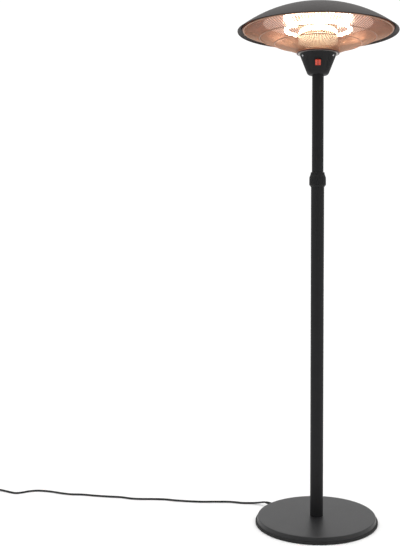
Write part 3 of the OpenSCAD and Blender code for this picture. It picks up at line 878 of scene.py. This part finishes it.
class HEATER_OT_plug(bpy.types.Operator):
    """Moulded mains plug lying on its side, with a grooved sleeve and two round pins"""

    bl_idname = "heater.plug"
    bl_label = "Mains plug"

    def execute(self, context):
        along = moved(*TAIL_ROUTE[-1]) @ swung(90, "X")
        outline = [(0, 0), (4.2, 0), (4.5, 0.4)]
        for i in range(4):
            width = 5.0 + 0.45 * i
            start = 2.5 + 4.6 * i
            outline += [
                (width - 0.7, start), (width, start + 0.5), (width + 0.2, start + 3.2),
                (width - 0.5, start + 3.7),
            ]
        outline += [(6.9, 21.2), (8.2, 22)]
        outline += arc((12.5, 33.5), 6, 118, 20, 7)
        outline += [(18.4, 38), (18.4, 54.3)]
        outline += arc((17.2, 54.3), 1.2, 0, 90, 4)
        outline += [(0, 55.5)]
        body = turned(outline, steps=64)
        for side in (-1, 1):
            groove = block((side * 17.3 - 2.2, -2.6, 38), (side * 17.3 + 2.2, 2.6, 57))
            cut(body, put(groove, swung(90)))
        put(body, along)
        finished(body, "plug", "stand", ["plug_body"], "moulded_rubber", 30)
        pin_outline = [(0, -1), (2.4, -1), (2.4, 17)]
        pin_outline += arc((1.0, 17.4), 1.4, 10, 90, 4) + [(0, 18.9)]
        pins = repeated(
            turned(pin_outline, steps=24), [along @ moved(x, 0, 55.5) for x in (9.5, -9.5)]
        )
        finished(pins, "plug_contacts", "stand", ["plug_pins"], "nickel_brass", 30)
        return {"FINISHED"}


class HEATER_OT_tie(bpy.types.Operator):
    """Hook-and-loop strap that holds the wound spare cord"""

    bl_idname = "heater.tie"
    bl_label = "Cord tie"

    def execute(self, context):
        width, thick = 12, 1
        bottom = COIL_LOW - CORD_RADIUS - thick / 2 - 0.05
        top = 25.8 + thick / 2
        side = CORD_RADIUS + thick / 2
        corner = 3
        section = []
        for centre, first in (
            ((side - corner, bottom + corner), -90), ((side - corner, top - corner), 0),
            ((corner - side, top - corner), 90), ((corner - side, bottom + corner), 180),
        ):
            section += arc(centre, corner, first, first + 90, 5)
        band = drawn([(x, -width / 2, z) for x, z in closed(section)])
        bpy.ops.mesh.extrude_region_move(TRANSFORM_OT_translate={"value": (0, width * MM, 0)})
        close_mesh()
        modified(band, "SOLIDIFY", {"thickness": thick * MM, "offset": 0.0})
        softened(band, 0.25)
        put(band, moved(*COIL_CENTRE, 0) @ swung(300) @ moved(COIL_RADIUS, 0, 0))
        finished(band, "tie_strap", "stand", ["cord_tie"], "woven_strap")
        return {"FINISHED"}


class HEATER_OT_cord(bpy.types.Operator):
    """Mains cord: loose along the floor, its spare length wound up beside the plug"""

    bl_idname = "heater.cord"
    bl_label = "Mains cord"

    def execute(self, context):
        route = [p * MM for p in smoothed(LEAD_ROUTE + coil_route() + TAIL_ROUTE)]
        line = bpy.data.curves.new("mains_cord", "CURVE")
        line.dimensions = "3D"
        line.bevel_depth = CORD_RADIUS * MM
        line.bevel_resolution = 4
        line.use_fill_caps = True
        spline = line.splines.new("POLY")
        spline.points.add(len(route) - 1)
        for point, place in zip(spline.points, route):
            point.co = (*place, 1.0)
        spline.use_smooth = True
        cord = bpy.data.objects.new("mains_cord", line)
        context.scene.collection.objects.link(cord)
        line.materials.append(finish_named("rubber_sheath"))
        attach(cord, "stand")
        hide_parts("cord_lead", "cord_coil", "cord_tail")
        return {"FINISHED"}


# ---- base and pole ---------------------------------------------------------------------------

class HEATER_OT_base(bpy.types.Operator):
    """Pressed steel base cover with a rolled edge, over a rubber hoop"""

    bl_idname = "heater.base"
    bl_label = "Base"

    def execute(self, context):
        foot, top = low("base_cover"), high("base_cover")
        edge = reach("base_cover")
        wall, roll = 1.2, 3.5
        upper_edge = edge - 4
        hole = reach("lower_tube")
        outline = [(hole, top), (0.5 * edge, top), (0.9 * edge, top)]
        outline += arc((upper_edge - roll, top - roll), roll, 90, 6, 8)
        outline += [(edge, foot), (edge - wall, foot)]
        outline += arc((upper_edge - roll, top - roll), roll - wall, 6, 90, 6)
        outline += [(hole, top - wall)]
        cover = turned(closed(outline), steps=192)
        finished(cover, "cover", "stand", ["base_cover"], "powder_coat")

        ring_top, ring_edge = high("base_edge_ring"), reach("base_edge_ring")
        inner = ring_edge - 15.5
        outline = [(inner, 0.8), (inner + 0.8, 0), (ring_edge - 2, 0)]
        outline += arc((ring_edge - 2, 2), 2, -80, 0, 4)
        outline += arc((ring_edge - 2.2, ring_top - 2.2), 2.2, 0, 100, 5)
        outline += [(edge - 1.2, ring_top - 0.3), (edge - 1.2, 3)]
        outline += [(edge - 3, 3), (edge - 3, 5.8), (inner, 5.8)]
        hoop = turned(closed(outline), steps=192)
        finished(hoop, "edge_ring", "stand", ["base_edge_ring"], "moulded_rubber")
        refinish("cast_iron", "base_weight")
        refinish("zinc_plate", "base_plate", "pole_socket", "base_bolts")
        refinish("rubber_sheath", "inner_lead_lower", "inner_lead_upper")
        return {"FINISHED"}


def tube(node, wall):
    """A drawn tube with eased ends, where the frame's tube stands."""
    radius, bottom, top = reach(node), low(node), high(node)
    ease = 0.3
    return turned(closed([
        (radius - ease, bottom), (radius, bottom + ease), (radius, (bottom + top) / 2),
        (radius, top - ease), (radius - ease, top), (radius - wall, top), (radius - wall, bottom),
    ]), steps=96)


class HEATER_OT_pole(bpy.types.Operator):
    """The two drawn steel tubes of the telescopic pole"""

    bl_idname = "heater.pole"
    bl_label = "Pole"

    def execute(self, context):
        wall = 1.5
        lower = tube("lower_tube", wall)
        finished(lower, "lower_pole", "stand", ["lower_tube"], "tube_coat")
        upper = tube("upper_tube", wall)
        finished(upper, "upper_pole", "head", ["upper_tube"], "tube_coat")
        refinish("natural_nylon", "guide_bush")
        return {"FINISHED"}


class HEATER_OT_collar(bpy.types.Operator):
    """Twist collar with scalloped grip, on the bush in the lower tube's mouth"""

    bl_idname = "heater.collar"
    bl_label = "Twist collar"

    def execute(self, context):
        bottom, top, edge = low("clamp_collar"), high("clamp_collar"), reach("clamp_collar")
        band_low, band_high = bottom + 2.6, bottom + 28.5
        bore = reach("upper_tube") + 0.4
        outline = [
            (bore + 6, bottom), (edge - 1.2, bottom), (edge - 0.4, bottom + 0.5),
            (edge, bottom + 1.6), (edge, band_low), (edge, band_low + 0.8),
            (edge, (band_low + band_high) / 2), (edge - 0.3, band_high - 1.2),
            (edge - 0.6, band_high), (edge - 1.2, band_high + 2.6), (edge - 2.4, band_high + 5.2),
            (edge - 4.4, band_high + 8.2), (26.2, top - 7), (25.8, top - 1), (25.0, top),
            (bore, top), (bore, top - 6), (bore + 6, top - 9),
        ]
        per_flute = 12
        flutes = sizes().collar_flutes
        collar = turned(closed(outline), steps=flutes * per_flute)
        edit(collar)
        step = 2 * math.pi / (flutes * per_flute)
        for offset, share in ((0, 1.0), (1, 0.85), (2, 0.35)):
            def in_flute(place):
                beside = round(math.atan2(place.y, place.x) / step) % per_flute
                return (
                    min(beside, per_flute - beside) == offset
                    and band_low + 0.1 < place.z < band_high - 0.1
                    and math.hypot(place.x, place.y) > edge - 2
                )
            draw_in(in_flute, share * sizes().flute_depth / (edge * MM))
        close_mesh()
        finished(
            collar, "twist_collar", "collar", ["clamp_collar"], "moulded_nylon"
        )

        lip_low, lip_high = high("lower_tube"), low("clamp_collar") - 0.4
        lip_edge, lip_foot = reach("clamp_bush"), reach("lower_tube") + 0.8
        outline = [
            (bore, lip_low - 30), (lip_foot - 2.4, lip_low - 30), (lip_foot - 2.4, lip_low),
            (lip_foot - 0.4, lip_low), (lip_foot, lip_low + 0.5),
            (lip_edge - 0.5, lip_high - 0.8), (lip_edge, lip_high), (27.4, lip_high),
            (27.4, lip_high + 24), (bore + 4, lip_high + 24), (bore, lip_high + 10),
        ]
        bush = turned(closed(outline), steps=96)
        finished(bush, "bush", "stand", ["clamp_bush"], "moulded_nylon")
        refinish("moulded_nylon", "clamp_sleeve")
        return {"FINISHED"}


# ---- head: housing, screws, switch -----------------------------------------------------------

HOUSING_LOW_RADIUS = 41
HOUSING_LOW_HEIGHT = 1679.5
SCREW_TURNS = (210, 330, 90)
# Degrees round the pole of the first and the last groove
GROOVES_FROM = -50
GROOVES_TO = 230
# Halves of the switch bezel's width and height
BEZEL_HALF_WIDTH = 13
BEZEL_HALF_HEIGHT = 14.5


def housing_slope():
    """Outward gain of the housing's radius for each step of height."""
    return (reach("housing") - HOUSING_LOW_RADIUS) / (high("housing") - HOUSING_LOW_HEIGHT)


def housing_radius(height):
    """Outer radius of the housing's cone at a height."""
    return HOUSING_LOW_RADIUS + (height - HOUSING_LOW_HEIGHT) * housing_slope()


def housing_lean():
    """Lean of the housing's wall from upright, in degrees."""
    return math.degrees(math.atan(housing_slope()))


def cross_screw(radius, height):
    """A pan-head screw with a cross recess, its seat at the origin and its axis up."""
    outline = [(0, -4 * radius), (0.5 * radius, -4 * radius), (0.5 * radius, 0), (0.92 * radius, 0)]
    outline += [(radius, 0.15 * height), (0.97 * radius, 0.45 * height)]
    outline += [(0.85 * radius, 0.75 * height), (0.6 * radius, 0.95 * height), (0, height)]
    screw = turned(outline, steps=32)
    arm, half = 0.55 * radius, 0.13 * radius
    recess = fused(
        block((-arm, -half, 0.35 * height), (arm, half, 2 * height)),
        block((-half, -arm, 0.3 * height), (half, arm, 2.1 * height)),
    )
    return cut(screw, recess)


class HEATER_OT_housing(bpy.types.Operator):
    """Conical housing grooved down its sides and rear, with its pocket for the switch"""

    bl_idname = "heater.housing"
    bl_label = "Housing"

    def execute(self, context):
        bottom, top, edge = low("housing"), high("housing"), reach("housing")
        wall = 2.5
        hole = reach("upper_tube")
        groove_low, groove_high = HOUSING_LOW_HEIGHT + 3, top - 8.5

        def outer(height):
            return (housing_radius(height), height)

        outline = [
            (hole, bottom + 0.4), (hole + 0.4, bottom), (30.5, bottom), (34, bottom + 0.6),
            (36.8, bottom + 2.2), (39.2, bottom + 4.8), (40.4, bottom + 7),
            outer(HOUSING_LOW_HEIGHT + 1.5), outer(groove_low), outer(groove_low + 1.6),
            outer(groove_low + 20), outer(groove_low + 40), outer(groove_high - 1.6),
            outer(groove_high), outer(top - 3), (edge - 0.3, top - 0.5), (edge - 0.8, top),
            (edge - wall, top), (HOUSING_LOW_RADIUS - wall, HOUSING_LOW_HEIGHT + 1),
            (33, bottom + 4), (hole, bottom + wall),
        ]
        shell = turned(closed(outline), steps=360)
        edit(shell)

        def in_groove(place):
            turn = math.degrees(math.atan2(place.y, place.x)) % 360
            from_first = (round(turn) - GROOVES_FROM) % 360
            in_span = from_first <= GROOVES_TO - GROOVES_FROM + 1
            return (
                in_span and from_first % sizes().rib_step in (0, 1)
                and groove_low + 1 < place.z < groove_high - 1
                and math.hypot(place.x, place.y) > housing_radius(place.z) - 0.5
            )
        draw_in(in_groove, sizes().groove_depth)
        close_mesh()
        cut(shell, put(switch_block(0.1, -16, 16), switch_place()))
        finished(shell, "cone_housing", "head", ["housing"], "moulded_nylon", 30)

        trim_low, trim_high = low("housing_trim"), high("housing_trim")
        trim_edge = reach("housing_trim")
        trim = turned(closed([
            (trim_edge - 14, trim_low), (trim_edge - 0.4, trim_low), (trim_edge, trim_low + 0.4),
            (trim_edge, trim_high - 0.4), (trim_edge - 0.4, trim_high),
            (trim_edge - 14, trim_high),
        ]), steps=128)
        finished(trim, "trim_ring", "head", ["housing_trim"], "rolled_steel")
        refinish("lacquered_plate", "flange_plate")
        refinish("zinc_plate", "tube_adapter")
        return {"FINISHED"}


class HEATER_OT_screws(bpy.types.Operator):
    """Cross-head screws of the housing and of the pole's foot"""

    bl_idname = "heater.screws"
    bl_label = "Screws"

    def execute(self, context):
        height = high("housing") - 10
        out = moved(housing_radius(height), 0, height) @ swung(90 + housing_lean(), "Y")
        screws = repeated(cross_screw(3.6, 1.8), [swung(turn) @ out for turn in SCREW_TURNS])
        finished(screws, "cone_screws", "head", ["housing_screws"], "zinc_plate", 30)
        screw_low = low("socket_screws")
        radius = (high("socket_screws") - screw_low) / 2
        out = moved(reach("lower_tube"), 0, screw_low + radius) @ swung(90, "Y")
        screws = repeated(cross_screw(radius, 0.9), [swung(turn) @ out for turn in (60, 120)])
        finished(screws, "foot_screws", "stand", ["socket_screws"], "zinc_plate", 30)
        return {"FINISHED"}


ROCKER_WIDTH = 9.2
ROCKER_OFFSET = 5.4
ROCKER_LENGTH = 20.6
PIVOT_DEPTH = 6
ROCKER_TILT = 8.0


def switch_place():
    """Frame of the switch: X across, Z straight out of the housing's sloping front."""
    pivot = next(j for j in frame["joints"] if j["name"] == "rocker_left_tilt")["pos_m"]
    return Matrix.Translation(pivot) @ swung(90 + housing_lean(), "X") @ moved(0, 0, PIVOT_DEPTH)


def switch_block(margin, back, front):
    """A block that is larger than the bezel by the margin on each side, from back to front."""
    width, height = BEZEL_HALF_WIDTH + margin, BEZEL_HALF_HEIGHT + margin
    return block((-width, -height, back), (width, height, front))


class HEATER_OT_switch(bpy.types.Operator):
    """Twin rocker switch: a bezel with two wells and two lit red rockers"""

    bl_idname = "heater.switch"
    bl_label = "Switch"

    def execute(self, context):
        bezel = softened(switch_block(0, -1.2, 2), 0.8, 3)
        fused(bezel, switch_block(-2, -14, 0.2))
        for side in (-1, 1):
            middle, half = side * ROCKER_OFFSET, ROCKER_WIDTH / 2 + 0.4
            cut(bezel, block((middle - half, -11.9, -9.5), (middle + half, 11.9, 10)))
        softened(bezel, 0.15, 2)
        put(bezel, switch_place())
        finished(
            bezel, "switch_bezel", "head", ["switch_frame"], "moulded_nylon", 30
        )

        half = ROCKER_LENGTH / 2
        outline = [(-9.3, 2), (0, -2.4), (9.3, 2), (half, 9.8)]
        outline += [(half * f, 8.4 + 1.4 * f * f) for f in (0.75, 0.5, 0.25, 0)]
        outline += [(-half * f, 8.4 + 1.4 * f * f) for f in (0.25, 0.5, 0.75, 1)]
        rest = moved(0, 0, -PIVOT_DEPTH) @ swung(ROCKER_TILT, "X")
        first = softened(prism(outline, ROCKER_WIDTH), sizes().edge_round / MM, 3)
        for side, body in ((-1, "rocker_left"), (1, "rocker_right")):
            rocker = copied(first, switch_place() @ moved(side * ROCKER_OFFSET, 0, 0) @ rest)
            finished(rocker, body + "_button", body, [body], "lit_polycarbonate", 30)
        bpy.data.objects.remove(first)
        return {"FINISHED"}


# ---- head: column, lamp, guard, reflector, shade ---------------------------------------------

class HEATER_OT_column(bpy.types.Operator):
    """Polished centre column: a lower shell with a beaded top and the neck above it"""

    bl_idname = "heater.column"
    bl_label = "Column"

    def execute(self, context):
        bottom, joint = low("column_shell"), high("column_shell") - 1.6
        bead = 1.6
        edge = reach("column_shell") - bead
        outline = [(edge - 1, bottom), (edge, bottom), (edge, bottom + 20)]
        outline += [(edge, joint - bead)] + arc((edge, joint), bead, -70, 90, 8)
        outline += [(edge - 1, joint + bead)]
        shell = turned(closed(outline), steps=160)
        finished(
            shell, "column_lower", "head", ["column_shell"], "polished_column"
        )
        bottom, top, edge = low("column_neck"), high("column_neck"), reach("column_neck")
        outline = [(edge - 0.8, bottom), (edge, bottom), (edge, top - 2)]
        outline += [(edge + 0.2, top - 0.8), (edge + 0.2, top), (edge - 0.8, top)]
        neck = turned(closed(outline), steps=160)
        finished(neck, "column_upper", "head", ["column_neck"], "polished_neck")
        refinish("zinc_plate", "centre_rod", "rod_nuts", "rod_spacers")
        refinish("steatite", "terminal_block")
        return {"FINISHED"}


class HEATER_OT_lamp(bpy.types.Operator):
    """Lit ring lamp with ceramic ends, held by four wire clips under the reflector"""

    bl_idname = "heater.lamp"
    bl_label = "Lamp"

    def execute(self, context):
        radius, height, wire = hoop_of("lamp_tube")
        gap = 30
        section = arc((radius, height), wire, 0, 360, 16)
        ring = turned(section, steps=120, sweep=360 - gap, start=90 + gap / 2)
        finished(ring, "quartz_tube", "head", ["lamp_tube"], "lit_quartz")
        refinish("hot_filament", "lamp_filament")
        refinish("glass_sleeve", "lamp_leads")

        length, fat = 22, 7.5
        outline = [(0, 0), (fat - 0.8, 0), (fat, 0.8), (fat, length - 6)]
        outline += [(fat - 1.5, length - 4.5), (fat - 1.5, length - 0.6)]
        outline += [(fat - 2.1, length), (0, length)]
        caps = repeated(turned(outline, steps=40), [
            swung(90 + side * gap / 2) @ moved(radius, 0, height) @ swung(side * 90, "X")
            for side in (-1, 1)
        ])
        finished(caps, "lamp_ends", "head", ["lamp_end_caps"], "steatite")

        thin = 1.2
        loop = turned(closed(arc((wire + thin, 0), thin, 0, 330, 11)), steps=36)
        put(loop, moved(radius, 0, height) @ swung(90, "X"))
        stem_top = low("reflector") + FLAT_RISE
        stem = rod((radius, 0, height + wire + thin), (radius, 0, stem_top), thin, 12)
        clips = round_pole(put(joined([loop, stem]), swung(45)), 4)
        finished(clips, "wire_clips", "head", ["lamp_clips"], "zinc_plate")
        return {"FINISHED"}


def wire_hoop(name, sides=14):
    """A lacquered wire hoop of the guard, where the frame has it."""
    radius, height, wire = hoop_of("guard_" + name)
    section = arc((radius, height), wire, 0, 360 - 360 / sides, sides - 1)
    hoop = turned(closed(section), steps=180)
    finished(hoop, name, "head", ["guard_" + name], "lacquered_wire", 60)


class HEATER_OT_guard(bpy.types.Operator):
    """Guard of straight radial wires between an inner and an outer ring, over two hoops"""

    bl_idname = "heater.guard"
    bl_label = "Guard"

    def execute(self, context):
        inner, inner_height, inner_wire = hoop_of("guard_inner_ring")
        outer, outer_height, _ = hoop_of("guard_outer_ring")
        thick = 1.2
        start = (inner - 1.4, 0, inner_height + inner_wire + thick - 0.5)
        end = (outer - 1.5, 0, outer_height)
        wire = softened(rod(start, end, thick, 8), 0.3, 1)
        round_pole(wire, sizes().guard_wires)
        finished(wire, "radial_wires", "head", ["guard_wires"], "lacquered_wire", 60)
        wire_hoop("outer_ring", 16)
        for name in ("upper_hoop", "lower_hoop", "inner_ring"):
            wire_hoop(name)
        refinish("lacquered_wire", "guard_hooks")
        return {"FINISHED"}


class HEATER_OT_reflector(bpy.types.Operator):
    """Spun reflector: a flat middle, a sloping flank and a rolled lip"""

    bl_idname = "heater.reflector"
    bl_label = "Reflector"

    def execute(self, context):
        edge, edge_height = reach("reflector"), low("reflector")
        flat_height = edge_height + FLAT_RISE
        foot = edge - 6
        sheet = 0.8
        lean = math.degrees(math.atan2(flat_height - edge_height, foot - FLAT_RADIUS))
        bend = 6
        ease = bend * math.tan(math.radians(lean / 2))
        middle = (FLAT_RADIUS - ease, flat_height - bend)
        hole = 4
        outline = [(hole, flat_height), (0.35 * FLAT_RADIUS, flat_height)]
        outline += [(0.7 * FLAT_RADIUS, flat_height)]
        outline += arc(middle, bend, 90, 90 - lean, 5)
        outline += [(foot - 1.5, edge_height + 0.5), (foot, edge_height)]
        outline += [(edge - 0.4, edge_height), (edge, edge_height + 0.4)]
        outline += [(edge - 0.4, edge_height + sheet), (foot + 0.2, edge_height + sheet)]
        outline += arc(middle, bend + sheet, 90 - lean, 90, 5)
        outline += [(hole, flat_height + sheet)]
        bowl = turned(closed(outline), steps=192)
        finished(bowl, "spun_bowl", "head", ["reflector"], "spun_reflector")
        refinish("mill_aluminium", "heat_shield")
        refinish("zinc_plate", "shade_brackets")
        return {"FINISHED"}


class HEATER_OT_shade(bpy.types.Operator):
    """Domed shade with a hemmed rim, and the low cap over its middle nut"""

    bl_idname = "heater.shade"
    bl_label = "Shade"

    def execute(self, context):
        top, edge = high("shade"), reach("shade")
        dome_radius = 489
        sheet, hem = 1, 1.4
        hem_centre = edge - hem
        centre_height = top - dome_radius
        last = math.degrees(math.asin((edge - 0.3) / dome_radius))
        hem_height = centre_height + dome_radius * math.cos(math.radians(last))
        outline = arc((0, centre_height), dome_radius, 90, 90 - last, 36)
        outline += arc((hem_centre, hem_height), hem, 20, -215, 9)
        outline += arc((0, centre_height), dome_radius - sheet, 90 - last + 0.55, 90, 36)
        dome = turned(outline, steps=192)
        finished(dome, "dome", "head", ["shade"], "baked_enamel")

        foot, cap_top, cap_edge = low("top_cap"), high("top_cap"), reach("top_cap")
        outline = [(0, foot), (cap_edge - 0.6, foot), (cap_edge, foot + 0.6)]
        outline += arc((cap_edge - 4, cap_top - 4), 4, 0, 80, 7)
        outline += [(0.4 * cap_edge, cap_top), (0, cap_top)]
        cap = turned(outline, steps=64)
        finished(cap, "cap", "head", ["top_cap"], "moulded_nylon")
        return {"FINISHED"}


# ---- stage -----------------------------------------------------------------------------------

class HEATER_OT_stage(bpy.types.Operator):
    """Pale floor and soft even studio light"""

    bl_idname = "heater.stage"
    bl_label = "Stage"

    def execute(self, context):
        deselect()
        bpy.ops.mesh.primitive_plane_add(size=60, location=POLE)
        floor = bpy.context.active_object
        floor.name = "studio_floor"
        floor.data.materials.append(finish_named("studio_floor"))

        world = context.scene.world or bpy.data.worlds.new("studio")
        context.scene.world = world
        world.use_nodes = True
        tree = world.node_tree
        tree.nodes.clear()
        seen = add_node(tree, "ShaderNodeLightPath").outputs["Is Camera Ray"]
        toward = add_node(tree, "ShaderNodeTexCoord").outputs["Generated"]
        depth = add_node(tree, "ShaderNodeSeparateXYZ", {}, {"Vector": toward}).outputs["Y"]
        from_behind = add_node(
            tree, "ShaderNodeMapRange", {"From Min": -1.0, "To Min": 0.2, "To Max": 0.9},
            {"Value": depth},
        ).outputs["Result"]
        strength = add_node(
            tree, "ShaderNodeMix", {3: 1.05}, {0: seen, 2: from_behind}
        ).outputs[0]
        sky = add_node(
            tree, "ShaderNodeBackground", {"Color": (1, 1, 1, 1)}, {"Strength": strength}
        )
        add_node(tree, "ShaderNodeOutputWorld", {}, {"Surface": sky.outputs["Background"]})

        bpy.ops.object.light_add(type="SUN", location=(0, 0, 4))
        overhead = bpy.context.active_object
        overhead.data.energy = 2.0
        overhead.data.angle = math.radians(100)
        for side, power in ((-1, 3.0), (1, 5.0)):
            where = Vector((side * 2.4, -1.6, 1.3))
            aim = Vector((0, 0, 1.0)) - where
            bpy.ops.object.light_add(
                type="AREA", location=where, rotation=aim.to_track_quat("-Z", "Y").to_euler()
            )
            panel = bpy.context.active_object
            panel.data.shape = "RECTANGLE"
            panel.data.size = 0.7
            panel.data.size_y = 2.2
            panel.data.energy = power
        context.scene.view_settings.view_transform = "Standard"
        return {"FINISHED"}


# ---- panel and registration ------------------------------------------------------------------

STEPS = (
    HEATER_OT_camera, HEATER_OT_gland, HEATER_OT_plug, HEATER_OT_tie, HEATER_OT_cord,
    HEATER_OT_base, HEATER_OT_pole, HEATER_OT_collar, HEATER_OT_housing, HEATER_OT_screws,
    HEATER_OT_switch, HEATER_OT_column, HEATER_OT_lamp, HEATER_OT_guard, HEATER_OT_reflector,
    HEATER_OT_shade, HEATER_OT_stage,
)


class HEATER_PT_panel(bpy.types.Panel):
    """The heater's sizes, colours and pieces"""

    bl_idname = "HEATER_PT_panel"
    bl_label = "Patio Heater"
    bl_space_type = "VIEW_3D"
    bl_region_type = "UI"
    bl_category = "Heater"

    def draw(self, context):
        for group in (context.scene.heater_sizes, context.scene.heater_colours):
            box = self.layout.box()
            for name in group.__annotations__:
                box.prop(group, name)
        for step in STEPS:
            self.layout.operator(step.bl_idname)


CLASSES = (HeaterSizes, HeaterColours, *STEPS, HEATER_PT_panel)


def register():
    """Registers the classes and their settings on the scene."""
    for kind in CLASSES:
        bpy.utils.register_class(kind)
    bpy.types.Scene.heater_sizes = bpy.props.PointerProperty(type=HeaterSizes)
    bpy.types.Scene.heater_colours = bpy.props.PointerProperty(type=HeaterColours)


def unregister():
    """Takes the settings and the classes away again."""
    del bpy.types.Scene.heater_colours
    del bpy.types.Scene.heater_sizes
    for kind in reversed(CLASSES):
        bpy.utils.unregister_class(kind)


def main():
    """Builds the heater step by step."""
    register()
    for step in STEPS:
        group, name = step.bl_idname.split(".")
        getattr(getattr(bpy.ops, group), name)()


if __name__ == "__main__":
    main()
